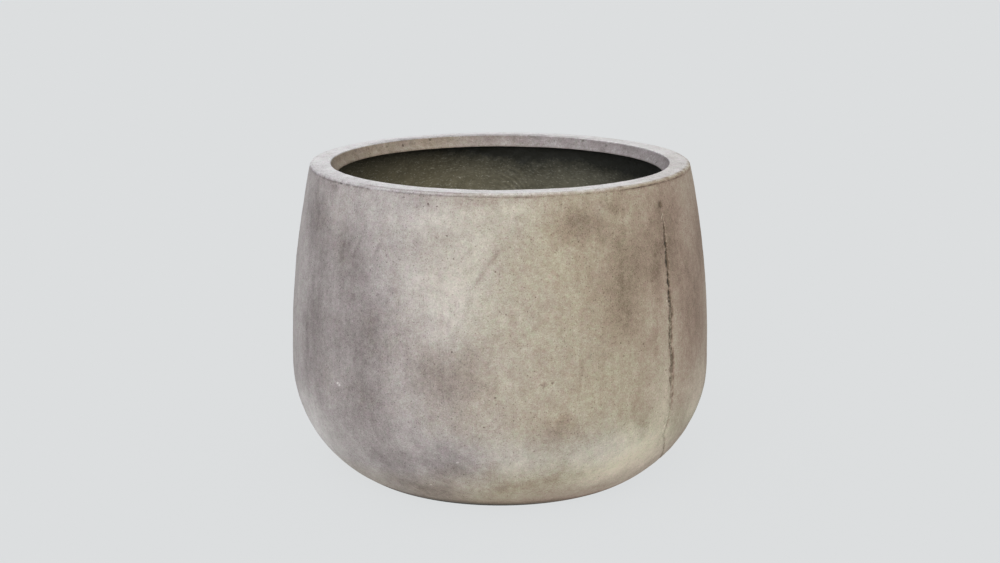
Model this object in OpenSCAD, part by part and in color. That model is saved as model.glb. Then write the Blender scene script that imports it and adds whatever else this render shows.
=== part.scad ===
// Low round bowl planter: two hand-laid concrete shell panels, a capped rim, a let-in base,
// a glass-fibre backing and a rubber drain plug. Millimetres, Z up, standing on Z = 0,
// with the front at -Y. Angles round the bowl are counted from the front towards +X.

/* [Overall size] */
// Widest diameter, at the belly
belly_d = 500; // [420:1:640]
// Height from the floor to the top of the rim
height = 371; // [310:1:460]
// Height of the belly, where the bowl is widest
belly_h = 132; // [110:1:160]
// How far the rim's outer edge stands inside the belly
rim_inset = 26.5; // [12:0.5:40]
// How far the foot's outer edge stands inside the belly
foot_inset = 80; // [50:1:100]

/* [Wall] */
// Thickness of the concrete skin
skin_t = 8; // [6:0.5:12]
// Thickness of the glass-fibre backing
liner_t = 4; // [2:0.5:6]
// Thickness of the concrete base
base_t = 12; // [10:1:20]

/* [Rim] */
// Width of the rim's flat top
rim_w = 23.3; // [20:0.1:34]
// Thickness of the cap over the wall's top edge
cap_t = 4; // [4:0.5:8]
// Depth of the turned-in lip
lip_h = 14; // [12:0.5:24]
// How far the lip's lower edge stands inside its upper edge
lip_draft = 7.5; // [0:0.5:10]
// Rounding of the rim's outer edge
rim_round = 3; // [1:0.5:3.5]

/* [Foot] */
// Rounding between the side and the flat underside
foot_round = 25; // [5:1:40]
// Diameter of the drain hole
drain_d = 30; // [20:1:40]

/* [Joints] */
// Width of the filled joint between the shell panels
seam_w = 4; // [2:0.5:6]
// Direction of the right-hand joint round the bowl, in degrees
seam_turn = 50.2; // [20:0.1:80]
// How far that joint has wandered sideways by the time it reaches the foot
seam_shift = 51; // [0:1:60]

/* [Hidden] */
$fn = 240;

belly_r = belly_d / 2;
rim_r = belly_r - rim_inset;
mouth_r = rim_r - rim_w;
lip_r = mouth_r - lip_draft;
foot_r = belly_r - foot_inset;
lip_z = height - lip_h;
cap_z = height - cap_t;

// The side is one long arc above the belly and one short arc below it, both upright at the belly.
// Their radii are kept to a tenth of a millimetre, so that they meet there without a step.
side_rise = height - belly_h;
side_arc = arc_radius(side_rise, rim_inset);
foot_arc = arc_radius(belly_h, foot_inset);
side_x = belly_r - side_arc;
foot_x = belly_r - foot_arc;

// Centre and end height of the arc that rounds the foot into the underside.
foot_cx = foot_x + sqrt(pow(foot_arc - foot_round, 2) - pow(belly_h - foot_round, 2));
foot_end_z = belly_h - (belly_h - foot_round) * foot_arc / (foot_arc - foot_round);

// Centre and start height of the arc that rounds the rim's outer edge.
edge_cx = side_x + sqrt(pow(side_arc - rim_round, 2) - pow(side_rise - rim_round, 2));
edge_z = belly_h + (side_rise - rim_round) * side_arc / (side_arc - rim_round);

// Rounding of the mouth's inner edge, where the flat top meets the drafted lip face.
mouth_round = 1.2;
lip_slope = atan2(lip_h, lip_draft);
mouth_run = mouth_round / tan((180 - lip_slope) / 2);

// Rounding arcs are drawn this much large, so that they cross both faces and don't graze them.
over = 1.005;

// The base disc hangs by a step in the shell's foot, well inside its rounded edge.
base_inset = 25;
base_r = foot_r - base_inset;
step_w = 10;
step_h = 6;
arris = 1.5;

// Glass-fibre backing: panels on the walls, a disc on the base, mat strips over every joint.
lip_gap = 3;
skin_top = lip_z - lip_gap;
liner_in = skin_t + liner_t;
floor_z = base_t + liner_t;
mat_t = 2;
strip_w = 60;
lap_t = 3;
lap_h = 75;
lap_z = skin_top - lap_h;
butt_gap = 2;
butt_r = base_r + step_w + butt_gap;
ring_w = 22;
ring_in = butt_r - ring_w / 2;
ring_out = butt_r + ring_w / 2;

// The joint filling stops short of the outer face.
grout_recess = 0.8;

// The left-hand joint is a straight cut on the bowl's axis. The right-hand one was filled by hand:
// it runs straight down to a knee under the belly and wanders sideways from there to a toe near
// the foot. It is cut along a line that leans down and out, so that it goes through the upright
// wall and the flat foot alike. Its course is drawn across that line, sideways and then upwards.
lean = 45;
knee_z = 80;
toe_z = 28;
reach = belly_r + height;
right_course = [
    [seam_shift, 0],
    [seam_shift, across(sqrt(pow(foot_at(toe_z), 2) - pow(seam_shift, 2)), toe_z)],
    [0, across(foot_at(knee_z), knee_z)],
    [0, reach]
];

// Drain plug: a head on the floor, a parallel neck in the hole and a tapered nose.
seat_gap = 0.3;
fit_gap = 0.05;
head_lap = 6;
head_t = 4;
head_round = 1.5;
nose_z = 2;
nose_in = 2;
grip_r = 7;
grip_h = 14;
waist_r = 4.5;
waist_fillet = 3;

function foot_at(z) = foot_x + sqrt(pow(foot_arc, 2) - pow(belly_h - z, 2));
function across(r, z) = r * cos(lean) + z * sin(lean);
function arc_radius(rise, inset) = round(5 * (rise * rise + inset * inset) / inset) / 10;
function beside(p, q) = [p.y - q.y, q.x - p.x] / norm(q - p);
function mitre(m, n) = (m + n) / (1 + m * n);

// Inside of the bowl's half outline, moved in from the outer face by d, from z = low to z = top.
module inside(d, low, top) {
    intersection() {
        union() {
            intersection() {
                translate([side_x, belly_h]) circle(r = side_arc - d, $fn = 1440);
                translate([0, belly_h]) square([belly_r, side_rise]);
            }
            intersection() {
                union() {
                    translate([foot_x, belly_h]) circle(r = foot_arc - d);
                    translate([0, belly_h - foot_arc + d]) square([foot_x, foot_arc - d]);
                }
                square([belly_r, belly_h]);
            }
        }
        translate([0, low]) square([belly_r, top - low]);
    }
}

// Outer half outline with the foot rounded into the underside.
module outside(top) {
    intersection() {
        inside(0, 0, top);
        union() {
            translate([0, foot_end_z]) square([belly_r, height]);
            square([foot_cx, height]);
            translate([foot_cx, foot_round]) circle(r = foot_round * over);
        }
    }
}

// Half section of the concrete skin, stepped at the foot to take the base disc.
module skin_section(face) {
    difference() {
        intersection() {
            outside(cap_z);
            if (face > 0) inside(face, face, cap_z);
            else square([belly_r, cap_z]);
        }
        inside(skin_t, base_t, height);
        square([base_r, base_t]);
        translate([0, step_h]) square([base_r + step_w, base_t]);
    }
}

// Half section of the glass-fibre panels on the walls.
module liner_section() {
    difference() {
        inside(skin_t, base_t, skin_top);
        inside(liner_in, floor_z, height);
        square([butt_r, height]);
    }
}

// Band w wide along a course, mitred where the course turns.
module band(course, w) {
    last = len(course) - 2;
    sides = [for (k = [0:last]) beside(course[k], course[k + 1])];
    steps = [for (k = [0:last + 1]) mitre(sides[max(k - 1, 0)], sides[min(k, last)])];
    polygon(concat(
        [for (k = [0:last + 1]) course[k] + steps[k] * w / 2],
        [for (k = [last + 1:-1:0]) course[k] - steps[k] * w / 2]
    ));
}

// Cuts a shape drawn across the lean through the right-hand wall, from the bowl's axis outwards.
module through_right() {
    cut_from = -height * cos(lean);
    rotate([90 + lean, 0, seam_turn]) translate([0, 0, cut_from])
        linear_extrude(belly_r - cut_from) children();
}

module right_cut(w) {
    through_right() band(right_course, w);
}

module left_cut(w) {
    rotate([0, 0, seam_turn]) translate([-w / 2, 0, 0]) cube([w, belly_d, height]);
}

// Everything on the front panel's side of both joints.
module front_side() {
    rotate([0, 0, seam_turn]) translate([-belly_d, -belly_d, 0])
        cube([belly_d, 2 * belly_d, height]);
    through_right() polygon(concat(right_course, [[-seam_w, reach], [-seam_w, 0]]));
}

// One panel of a layer of the wall, side = 1 for the back and -1 for the front.
module panel(side) {
    difference() {
        if (side > 0) difference() {
            rotate_extrude() children();
            front_side();
        }
        else intersection() {
            rotate_extrude() children();
            front_side();
        }
        right_cut(seam_w);
        left_cut(seam_w);
    }
}

module shell_front() {
    color([0.66, 0.63, 0.60]) panel(-1) skin_section(0);
}

module shell_back() {
    color([0.62, 0.59, 0.56]) panel(1) skin_section(0);
}

module rim_ring() {
    color([0.80, 0.79, 0.79]) rotate_extrude() difference() {
        intersection() {
            union() {
                inside(0, cap_z, height);
                inside(skin_t, lip_z, height);
            }
            union() {
                square([belly_r, edge_z]);
                square([edge_cx, height]);
                translate([edge_cx, height - rim_round]) circle(r = rim_round * over);
            }
            union() {
                square([belly_r, height - mouth_run * sin(lip_slope)]);
                translate([mouth_r + mouth_run, 0]) square([rim_w, height]);
                translate([mouth_r + mouth_run, height - mouth_round])
                    circle(r = mouth_round * over);
            }
        }
        polygon([[0, lip_z], [lip_r, lip_z], [mouth_r, height], [0, height]]);
    }
}

module base_disc() {
    color([0.64, 0.62, 0.60]) difference() {
        union() {
            cylinder(h = arris, r1 = base_r - arris, r2 = base_r);
            translate([0, 0, arris]) cylinder(h = step_h - arris, r = base_r);
            translate([0, 0, step_h]) cylinder(h = base_t - step_h, r = base_r + step_w);
        }
        cylinder(h = base_t, d = drain_d);
    }
}

module liner_front() {
    color([0.36, 0.37, 0.31]) panel(-1) liner_section();
}

module liner_back() {
    color([0.33, 0.34, 0.28]) panel(1) liner_section();
}

module liner_base() {
    color([0.35, 0.36, 0.30]) translate([0, 0, base_t]) difference() {
        cylinder(h = liner_t, r = butt_r);
        cylinder(h = liner_t, d = drain_d);
    }
}

module lip_backing() {
    color([0.40, 0.41, 0.35]) rotate_extrude() difference() {
        inside(skin_t, lap_z, lip_z);
        difference() {
            inside(0, lap_z, skin_top);
            inside(liner_in, lap_z, skin_top);
        }
        inside(liner_in + lap_t, lap_z, skin_top);
        square([lip_r + lap_t, height]);
    }
}

// Mat strip laid over a joint on the inside, from the base ring up to the lip's backing.
module joint_tape() {
    intersection() {
        rotate_extrude() difference() {
            inside(liner_in, floor_z, lap_z);
            inside(liner_in + mat_t, floor_z + mat_t, height);
            square([ring_out, height]);
        }
        children();
    }
}

module joint_tape_right() {
    color([0.45, 0.46, 0.39]) joint_tape() right_cut(strip_w);
}

module joint_tape_left() {
    color([0.45, 0.46, 0.39]) joint_tape() left_cut(strip_w);
}

module base_tape() {
    color([0.43, 0.44, 0.37]) translate([0, 0, floor_z]) difference() {
        cylinder(h = mat_t, r = ring_out);
        cylinder(h = mat_t, r = ring_in);
    }
}

// Mortar that fills a joint through the skin and its backing, a little below the outer face.
module joint_grout() {
    intersection() {
        rotate_extrude() union() {
            skin_section(grout_recess);
            liner_section();
        }
        children();
    }
}

module joint_grout_right() {
    color([0.56, 0.54, 0.53]) joint_grout() right_cut(seam_w);
}

module joint_grout_left() {
    color([0.56, 0.54, 0.53]) joint_grout() left_cut(seam_w);
}

module drain_plug() {
    neck_r = drain_d / 2 - fit_gap;
    head_r = drain_d / 2 + head_lap;
    head_z = floor_z + seat_gap;
    top_z = head_z + head_t;
    grip_z = top_z + grip_h - grip_r;
    color([0.13, 0.13, 0.13]) rotate_extrude() {
        polygon([[0, nose_z], [neck_r - nose_in, nose_z], [neck_r, step_h], [neck_r, top_z], [0, top_z]]);
        translate([0, head_z]) intersection() {
            square([head_r, head_t]);
            union() {
                square([head_r, head_t - head_round]);
                square([head_r - head_round, head_t]);
                translate([head_r - head_round, head_t - head_round]) circle(r = head_round * over);
            }
        }
        difference() {
            translate([0, head_z]) square([waist_r + waist_fillet, head_t + waist_fillet]);
            translate([waist_r + waist_fillet, top_z + waist_fillet]) circle(r = waist_fillet * over);
        }
        square([waist_r, grip_z]);
        intersection() {
            translate([0, grip_z]) circle(r = grip_r);
            square([grip_r, height]);
        }
    }
}

shell_front();
shell_back();
rim_ring();
base_disc();
liner_front();
liner_back();
liner_base();
lip_backing();
joint_tape_right();
joint_tape_left();
base_tape();
joint_grout_right();
joint_grout_left();
drain_plug();
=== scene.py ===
import bpy
import numpy as np
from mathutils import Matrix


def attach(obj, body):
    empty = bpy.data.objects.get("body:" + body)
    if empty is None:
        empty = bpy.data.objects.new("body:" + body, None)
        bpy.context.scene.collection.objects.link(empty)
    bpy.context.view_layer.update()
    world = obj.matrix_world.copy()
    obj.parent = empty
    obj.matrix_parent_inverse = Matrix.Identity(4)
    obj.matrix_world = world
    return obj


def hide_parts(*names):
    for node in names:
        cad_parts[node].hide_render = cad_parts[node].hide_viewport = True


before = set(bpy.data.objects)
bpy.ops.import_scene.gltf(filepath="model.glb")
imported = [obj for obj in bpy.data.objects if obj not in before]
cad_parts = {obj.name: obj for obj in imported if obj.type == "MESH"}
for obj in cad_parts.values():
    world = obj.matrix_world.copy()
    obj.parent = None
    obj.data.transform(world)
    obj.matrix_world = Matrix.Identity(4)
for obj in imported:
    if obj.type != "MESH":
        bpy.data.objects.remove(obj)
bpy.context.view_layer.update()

# ---------------------------------------------------------------------------------------------
# Concrete shell panels. Each half of the bowl is laid by hand in a mould from glass-fibre
# concrete about 8 mm thick. The halves are stood together and joined by two upright joints,
# at the right of the front and straight across from it. Lengths are in mm, heights from the floor.

MM = 0.001
belly_r, belly_z = 250.0, 132.0
side_arc, foot_arc = 1091.0, 148.9
skin_t, cap_z = 8.0, 367.0
foot_inner_r, foot_step_r, step_z, base_z = 145.0, 155.0, 6.0, 12.0
foot_round, foot_round_x, foot_round_end = 25.0, 163.6, 3.41
right_turn, left_turn = np.radians(50.2), np.radians(230.2)
joint_shift, toe_reach, knee_reach = 51.0, 162.1, 226.7


def wall_radius(z, inset=0.0):
    """Radius at height z of the wall's face moved in by inset: one circle above the belly and a
    tighter one below it, both upright at the belly."""
    arc = np.where(z > belly_z, side_arc, foot_arc)
    return belly_r - arc + np.sqrt(np.maximum((arc - inset) ** 2 - (z - belly_z) ** 2, 0.0))


def along(corners, step):
    """Points about step apart along the straight lines that join the corners, ends included."""
    runs = []
    for a, b in zip(corners[:-1], corners[1:]):
        a, b = np.array(a, float), np.array(b, float)
        count = max(1, int(round(np.linalg.norm(b - a) / step)))
        runs.append(a + (b - a) * (np.arange(count) / count)[:, None])
    return np.vstack(runs + [np.array(corners[-1:], float)])


def face_run(step, inset=0.0, low=None, top=cap_z):
    """Outline (radius, height) of the wall's face, moved in by inset, from low to top. Without low
    it starts under the foot: flat, then round an arc of foot_round, then up the wall."""
    start = foot_round_end if low is None else low
    spread = np.arcsin(np.clip((belly_z - start) / (foot_arc - inset), -1, 1))
    below = np.linspace(-spread, 0, max(2, int((foot_arc - inset) * spread / step)))[:-1]
    rise = np.arcsin((top - belly_z) / (side_arc - inset))
    above = np.linspace(0, rise, int((side_arc - inset) * rise / step) + 1)
    z = np.concatenate([belly_z + (foot_arc - inset) * np.sin(below),
                        belly_z + (side_arc - inset) * np.sin(above)])
    run = np.stack([wall_radius(z, inset), z], 1)
    if low is not None:
        return run
    lean = np.arcsin((foot_round - foot_round_end) / foot_round)
    turn = np.linspace(np.pi / 2, lean, 8)[:-1]
    bend = np.stack([foot_round_x + foot_round * np.cos(turn), foot_round - foot_round * np.sin(turn)], 1)
    return np.vstack([along([(foot_inner_r, 0), (foot_round_x, 0)], step)[:-1], bend, run])


def right_joint(r, z):
    """Direction of the right joint at points (r, z), and the slope of its course. The course is
    straight above the knee and wanders sideways by joint_shift between knee and toe, drawn
    across a line that leans 45 degrees down and out, and it strays a little just above the knee."""
    turn = np.zeros_like(r)
    for _ in range(40):
        height_across = (r * np.cos(turn) + z) / np.sqrt(2)
        turn = np.arcsin(np.interp(height_across, [toe_reach, knee_reach], [joint_shift, 0]) / r)
    wanders = (height_across > toe_reach) & (height_across < knee_reach)
    slope = np.where(wanders, joint_shift / (knee_reach - toe_reach), 0.0)
    stray = np.interp(z, [46, 66, 84, 112, 128, 150, 190, 220, 300],
                      [0, 1.2, 2.4, 2.5, 2.4, 0.5, -0.5, 1.2, 2.4])
    return right_turn + turn + stray / r, slope


def ripple(points, size, seed, waves=28):
    """Smooth unevenness of about unit height at points in mm: a sum of plane waves in random
    directions, each between 0.75 and 1.4 times size long."""
    draw = np.random.default_rng(seed)
    way = draw.normal(size=(points.shape[-1], waves))
    way /= np.linalg.norm(way, axis=0)
    pace = 2 * np.pi / (size * draw.uniform(0.75, 1.4, waves))
    return np.sin(points @ (way * pace) + draw.uniform(0, 2 * np.pi, waves)).sum(-1) / np.sqrt(waves / 2)


def revolve(run, turn):
    """Points of a run (radius, height) carried round the axis to the directions turn, which may
    differ from row to row. Direction 0 is the front, -Y, and +90 degrees is +X."""
    r, z = run[:, :1], run[:, 1:]
    turn = np.broadcast_to(turn, (len(run), turn.shape[-1]))
    return np.stack([r * np.sin(turn), -r * np.cos(turn), np.broadcast_to(z, turn.shape)], -1)


def turn_of(points):
    """Directions of points round the axis, in degrees from -180 to 180: 0 is the front and 90 the
    right."""
    return np.degrees(np.arctan2(points[..., 0], -points[..., 1]))


def face_out(run):
    """Unit outward direction (radius, height) along a run that goes out and up."""
    step = np.gradient(run, axis=0)
    step /= np.linalg.norm(step, axis=1, keepdims=True)
    return np.stack([step[:, 1], -step[:, 0]], 1)


def pushed(points, run, lift):
    """Points of a revolved run moved out along the wall's own direction by lift."""
    out = face_out(run)
    around = points[..., :2] / np.maximum(np.linalg.norm(points[..., :2], axis=-1, keepdims=True), 1e-6)
    return points + np.concatenate([around * out[:, None, :1], np.broadcast_to(
        out[:, None, 1:], points.shape[:2] + (1,))], -1) * lift[..., None]


def closed_bar(points, face_rows):
    """Faces of a closed solid whose rows of points go round its section: the first face_rows of
    them over its face, and the rest back behind it. Quads along the rows, and end caps as a row of
    cells that join each step of the coarser run to the steps of the finer one beside it."""
    number = np.arange(points.shape[0] * points.shape[1]).reshape(points.shape[:2])
    fine, coarse = number[:face_rows], number[face_rows:]
    after = np.roll(number, -1, axis=0)
    quads = np.stack([number[:, :-1], number[:, 1:], after[:, 1:], after[:, :-1]], -1).reshape(-1, 4)
    many, few = (fine, coarse[::-1]) if len(fine) >= len(coarse) else (coarse, fine[::-1])
    cut = np.round(np.linspace(0, len(many) - 1, len(few))).astype(int)
    cells = []
    for column, flip in ((0, -1), (-1, 1)):
        for k in range(len(few) - 1):
            cell = np.concatenate([many[cut[k]:cut[k + 1] + 1, column], few[[k + 1, k], column]])
            cells.append(cell[::flip].tolist())
    return quads.tolist() + cells


def to_linear(code):
    """Linear colour of an sRGB hex code: the power curve of the standard, straight near black."""
    level = np.array([int(code[k:k + 2], 16) for k in (1, 3, 5)]) / 255
    return (*np.where(level <= 0.04045, level / 12.92, ((level + 0.055) / 1.055) ** 2.4), 1.0)


def add(tree, kind, settings=(), links=()):
    """Adds a shader node. settings are its properties, or its inputs' values by name or number,
    with ramp stops as (place, hex) pairs; links are its inputs by name or number with sockets."""
    made = tree.nodes.new(kind)
    for key, value in dict(settings).items():
        if key == "stops":
            stops = made.color_ramp.elements
            while len(stops) < len(value):
                stops.new(0.5)
            for stop, (place, code) in zip(stops, value):
                stop.position, stop.color = place, to_linear(code)
        elif isinstance(key, str) and hasattr(made, key):
            setattr(made, key, value)
        else:
            made.inputs[key].default_value = value
    for key, socket in dict(links).items():
        tree.links.new(socket, made.inputs[key])
    return made


def new_material(name, **surface):
    """Empty node material with its surface shader, whose fixed sockets are the given values."""
    made = bpy.data.materials.new(name)
    made.use_nodes = True
    tree = made.node_tree
    tree.nodes.clear()
    shader = add(tree, "ShaderNodeBsdfPrincipled", surface)
    add(tree, "ShaderNodeOutputMaterial", links={"Surface": shader.outputs["BSDF"]})
    return made, tree, shader


def sum_of(tree, parts):
    """Socket of the weighted sum of (socket, weight) pairs, one multiply-add node for each."""
    total = None
    for socket, weight in parts:
        step = add(tree, "ShaderNodeMath", {"operation": "MULTIPLY_ADD", 1: weight, 2: 0.0}, {0: socket})
        if total is not None:
            tree.links.new(total, step.inputs[2])
        total = step.outputs[0]
    return total


def clouds(tree, place, table):
    """Soft ellipsoid patches on the wall, one per (turn in degrees, height, width, tall, strength)
    row: strength at the middle, falling smoothly to nothing at the patch's edge."""
    parts = []
    for turn, height, width, tall, strength in table:
        a, r = np.radians(turn), float(wall_radius(height))
        centre = (r * MM * np.sin(a), -r * MM * np.cos(a), height * MM)
        patch = add(tree, "ShaderNodeMapping", {
            "vector_type": "TEXTURE", "Location": centre, "Rotation": (0, 0, a),
            "Scale": (width * MM / 2, width * MM / 2, tall * MM / 2)}, {"Vector": place})
        ball = add(tree, "ShaderNodeTexGradient", {"gradient_type": "SPHERICAL"},
                   {"Vector": patch.outputs[0]})
        soft = add(tree, "ShaderNodeMapRange", {"interpolation_type": "SMOOTHSTEP"},
                   {"Value": ball.outputs["Fac"]})
        parts.append((soft.outputs[0], strength))
    return sum_of(tree, parts)


def mottle(tree, place, layers):
    """Sum of noise layers, each (size in mm, how much taller than wide, weight), centred on zero."""
    parts = []
    for size, tall, weight in layers:
        scaled = add(tree, "ShaderNodeMapping", {"Scale": (1, 1, 1 / tall)}, {"Vector": place})
        noise = add(tree, "ShaderNodeTexNoise", {"Scale": 1 / (size * MM), "Detail": 4.0, "Roughness": 0.62},
                    {"Vector": scaled.outputs[0]})
        centred = add(tree, "ShaderNodeMath", {"operation": "SUBTRACT", 1: 0.5}, {0: noise.outputs["Fac"]})
        parts.append((centred.outputs[0], weight))
    return sum_of(tree, parts)


def dots(tree, place, spacing, size, share):
    """Small round spots, spacing mm apart on average and up to size mm across. share of the
    cells, chosen by their random colour, have one."""
    cells = add(tree, "ShaderNodeTexVoronoi", {"Scale": 1 / (spacing * MM)}, {"Vector": place})
    pick = add(tree, "ShaderNodeSeparateColor", links={0: cells.outputs["Color"]})
    reach = add(tree, "ShaderNodeMapRange", {"From Min": 1 - share, "To Max": size / spacing / 2},
                {"Value": pick.outputs[0]})
    gap = add(tree, "ShaderNodeMath", {"operation": "SUBTRACT"},
              {0: reach.outputs[0], 1: cells.outputs["Distance"]})
    edge = add(tree, "ShaderNodeMath", {"operation": "MULTIPLY", 1: 3 * spacing / size, "use_clamp": True},
               {0: gap.outputs[0]})
    return edge.outputs[0]


# Broad marks that the cast face carries, as (turn, height, width, tall, strength) in degrees and
# mm: cement bloom is pale, damp and release oil are dark. They also hold painted light and shade:
# the dark patches about 35 to 80 degrees each side of the front paint shade towards the wall's
# sides, and the pale ones just left of the middle of the front paint the key light's highlight.
patina_and_painted_light = [
    (-45, 292, 110, 130, -0.30), (-38, 205, 155, 190, -0.36), (-39, 120, 150, 135, -0.30),
    (-12, 66, 100, 60, -0.26), (-17, 345, 150, 60, 0.26), (-13, 266, 170, 170, 0.24),
    (-30, 66, 110, 60, -0.22), (37, 62, 230, 130, 0.50), (22, 336, 115, 70, -0.28),
    (68, 106, 105, 115, 0.32), (-14, 174, 130, 125, -0.20), (34, 262, 130, 220, -0.26),
    (51, 308, 150, 195, -0.34), (-4, 322, 90, 60, 0.20), (3, 74, 120, 90, 0.20),
    (-58, 200, 115, 255, -0.30), (64, 222, 135, 200, -0.26), (48, 120, 85, 150, 0.26),
    (4, 354, 120, 40, 0.20), (-66, 70, 165, 155, 0.40), (-25, 30, 130, 68, -0.30),
    (-62, 318, 120, 140, -0.33), (14, 120, 85, 50, -0.22), (34, 359, 80, 24, -0.24),
    (150, 240, 185, 205, -0.30), (190, 150, 205, 155, 0.30), (120, 120, 140, 140, 0.24),
    (228, 290, 155, 125, -0.26), (255, 120, 170, 155, 0.20), (78, 288, 120, 150, -0.27),
]


# Black for deep grime and for painted shadow, and the faint tints of the cement where it is
# greenish and where it is rusty.
grime_and_shadow_black, greenish, rusted = "#2F3029", "#F7FFF4", "#FFF4F8"


def cast_concrete(name, tones, streaks=()):
    """Hand-laid glass-fibre concrete, cast against a mould: matt, cloudy from damp and release oil,
    with cement bloom, pinholes left by air, dark sand grains, and black grime where it is dirtiest.
    Its marks also carry painted shade and light: painted shade that darkens it, down to black in the
    painted contact shadow at the foot, and painted light that makes the rim ring's top paler. tones
    are the hex colours of the dark, middle, light and pale parts, grey and then buff, and streaks
    are tall noise layers. The finest sand grain, under half a millimetre, is drawn about 1 mm across
    so that it shows."""
    made, tree, shader = new_material(name, Metallic=0.0, IOR=1.5, **{"Specular IOR Level": 0.35})
    place = add(tree, "ShaderNodeTexCoord").outputs["Object"]
    swirl = add(tree, "ShaderNodeTexNoise", {"Scale": 1 / (55 * MM), "Detail": 4.0, "Roughness": 0.64},
                {"Vector": place})
    off = add(tree, "ShaderNodeVectorMath", {"operation": "MULTIPLY_ADD", 1: (0.07,) * 3, 2: (-0.035,) * 3},
              {0: swirl.outputs["Color"]})
    drawn = add(tree, "ShaderNodeVectorMath", {"operation": "ADD"}, {0: place, 1: off.outputs[0]})

    broad = clouds(tree, drawn.outputs[0], patina_and_painted_light)
    cloudy = mottle(tree, place, [(110, 1.3, 0.16), (42, 1.0, 0.14), (15, 1.0, 0.40), (5.5, 1.0, 0.39),
                                  (2.0, 1.0, 0.46), (1.1, 1.0, 0.8), *streaks])
    pits = dots(tree, place, 3.7, 1.9, 0.75)
    grains = dots(tree, place, 2.1, 1.7, 0.9)
    holes = dots(tree, drawn.outputs[0], 27.0, 2.4, 0.6)
    specks = dots(tree, drawn.outputs[0], 17.0, 1.6, 0.30)
    # These marks carry painted shade and painted light as well as dirt and pale cement: the painted contact
    # shadow at the foot, painted shade on the rim ring's side and lip, and painted top light on the rim ring.
    soiled, limed, pale, buff = (add(tree, "ShaderNodeAttribute", {"attribute_name": key}).outputs["Fac"]
                                 for key in ("soiled", "limed", "pale", "buff"))
    marks = sum_of(tree, [
        (broad, 1.0), (cloudy, 1.0), (pits, -0.45), (grains, -0.38), (holes, -0.7), (specks, 0.3),
        (clouds(tree, place, pinholes), 1.0), (soiled, -0.75), (limed, 0.45), (pale, 0.40)])
    tone = add(tree, "ShaderNodeMath", {"operation": "ADD", 1: 0.5, "use_clamp": True}, {0: marks})
    warmth = add(tree, "ShaderNodeMath", {"operation": "ADD", "use_clamp": True}, {
        0: buff, 1: mottle(tree, place, [(70, 1.4, 0.5), (20, 1.5, 0.15), (6, 1.0, 0.35), (2.5, 1.0, 0.25)])})
    cool, warm = (add(tree, "ShaderNodeValToRGB", {"stops": list(zip((0.0, 0.38, 0.6, 1.0), tones[k:k + 4]))},
                      {"Fac": tone.outputs[0]}) for k in (0, 4))
    paint = add(tree, "ShaderNodeMix", {"data_type": "RGBA"}, {
        0: warmth.outputs[0], 6: cool.outputs[0], 7: warm.outputs[0]})
    rusty = add(tree, "ShaderNodeMapRange", {"From Min": 1.0, "From Max": 1.5, "To Min": 0.5, "To Max": 0.95},
                {"Value": buff})
    blush = add(tree, "ShaderNodeMath", {"operation": "ADD", "use_clamp": True}, {
        0: rusty.outputs[0], 1: mottle(tree, drawn.outputs[0], [
            (26, 1.3, 0.2), (9, 1.0, 0.8), (4.5, 1.0, 1.2), (2.2, 1.0, 0.8)])})
    tint = add(tree, "ShaderNodeValToRGB", {"stops": [(0.0, greenish), (1.0, rusted)]},
               {"Fac": blush.outputs[0]})
    tinted = add(tree, "ShaderNodeMix", {"data_type": "RGBA", "blend_type": "MULTIPLY", 0: 1.0}, {
        6: paint.outputs[2], 7: tint.outputs[0]})
    # Darkening past 0.9 mixes towards black: deep grime, and the painted contact shadow at the foot.
    grime_and_shade_share = add(tree, "ShaderNodeMapRange", {"From Min": 0.9, "From Max": 1.7}, {"Value": soiled})
    grimed_and_shaded = add(tree, "ShaderNodeMix", {"data_type": "RGBA", 7: to_linear(grime_and_shadow_black)}, {
        0: grime_and_shade_share.outputs[0], 6: tinted.outputs[2]})
    tree.links.new(grimed_and_shaded.outputs[2], shader.inputs["Base Color"])

    dry = add(tree, "ShaderNodeMapRange", {"From Min": -0.2, "From Max": 0.2, "To Min": 0.72, "To Max": 0.92},
              {"Value": cloudy})
    tree.links.new(dry.outputs[0], shader.inputs["Roughness"])
    skin = sum_of(tree, [(mottle(tree, place, [(14, 1.0, 1.0), (3.2, 1.0, 0.7), (1.2, 1.0, 0.5)]), 1.0),
                         (pits, -1.2)])
    bump = add(tree, "ShaderNodeBump", {"Strength": 0.55, "Distance": 0.0006}, {"Height": skin})
    tree.links.new(bump.outputs[0], shader.inputs["Normal"])
    return made


def piece(name, points, faces, material, slot, *nodes, **marks):
    """Smooth mesh object at the origin from points in mm, with named values per point. It rides on
    the pot, takes its finish from material and stands for the CAD nodes. slot is not used."""
    mesh = bpy.data.meshes.new(name)
    mesh.from_pydata(points.reshape(-1, 3) * MM, [], faces)
    for mark, value in marks.items():
        width = 3 if value.shape[-1] == 3 and value.ndim == 3 else 1
        values = np.zeros(len(mesh.vertices) * width, np.float32)
        values[:value.size] = value.ravel()
        kind, field = ("FLOAT_VECTOR", "vector") if width == 3 else ("FLOAT", "value")
        mesh.attributes.new(mark, kind, "POINT").data.foreach_set(field, values)
    mesh.shade_smooth()
    mesh.set_sharp_from_angle(angle=np.radians(38))
    mesh.materials.append(material)
    made = bpy.data.objects.new(name, mesh)
    bpy.context.scene.collection.objects.link(made)
    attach(made, "pot")
    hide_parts(*nodes)
    return made


def buff_side(points):
    """How buff rather than grey the cement shows: 1 within 40 degrees of the direction 70 degrees
    right of the front, and gone 112 degrees from it. It goes on to 1.5, where the cement is rusty
    too, within 10 degrees of that direction."""
    off = np.abs((turn_of(points) - 70 + 180) % 360 - 180)
    near = np.clip((112 - off) / 72, 0, 1)
    return near * near * (3 - 2 * near) + 0.5 * np.clip((40 - off) / 30, 0, 1)


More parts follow.
